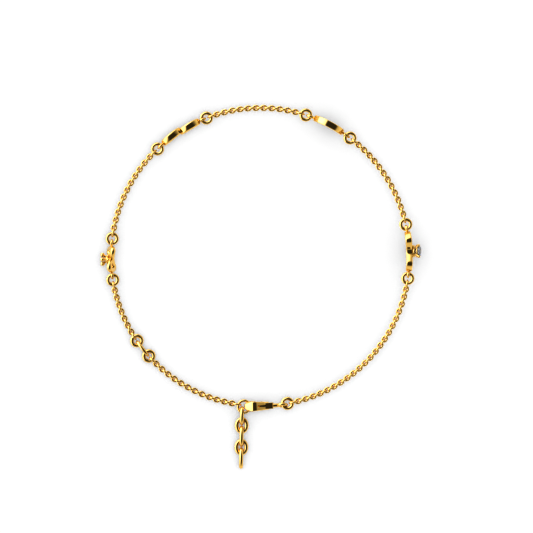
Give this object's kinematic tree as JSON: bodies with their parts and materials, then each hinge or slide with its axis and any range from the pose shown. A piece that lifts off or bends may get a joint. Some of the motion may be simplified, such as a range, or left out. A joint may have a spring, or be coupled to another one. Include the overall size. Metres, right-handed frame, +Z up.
{
  "type": "diamond bracelet",
  "caption": "Yellow-gold cable chain bracelet laid in a circle, with heart, disc, twin-oval and infinity charms, set diamonds, a lobster clasp and an extender.",
  "frame": {"origin": "centre of the footprint, on the floor the bracelet lies on", "axes": "+Z up off the floor, +Y away from the extender, +X towards the charm with the larger diamond when the extender points at the viewer"},
  "size_m": [0.061, 0.0694, 0.0063],
  "materials": {
    "gold": null,
    "diamond": null
  },
  "bodies": {
    "bracelet": {"chain_after_clasp": "gold", "chain_after_disc": "gold", "chain_after_heart": "gold", "chain_after_infinity": "gold", "chain_after_ovals": "gold", "chain_after_sizing": "gold", "clasp_body": "gold", "clasp_ring_1": "gold", "clasp_ring_2": "gold", "clasp_rivet": "gold", "disc_charm": "gold", "disc_ring_1": "gold", "disc_ring_2": "gold", "extender_link_1": "gold", "extender_link_2": "gold", "extender_link_3": "gold", "extender_link_4": "gold", "extender_link_5": "gold", "heart_charm": "gold", "heart_diamond": "diamond", "heart_ring_1": "gold", "heart_ring_2": "gold", "infinity_charm": "gold", "infinity_diamond": "diamond", "infinity_ring_1": "gold", "infinity_ring_2": "gold", "ovals_charm": "gold", "ovals_ring_1": "gold", "ovals_ring_2": "gold", "sizing_link": "gold", "sizing_ring_1": "gold", "sizing_ring_2": "gold"},
    "clasp_lever": {"clasp_lever": "gold"}
  },
  "joints": [
    {"name": "lever_hinge", "type": "hinge", "parent": "bracelet", "child": "clasp_lever", "pos_m": [0.00127, -0.02265, 0.00175], "axis": [-0.0407, 0.9992, 0], "range_deg": [0, 25], "stiffness_Nm_per_rad": 0.002, "springref_deg": -11.46}
  ]
}
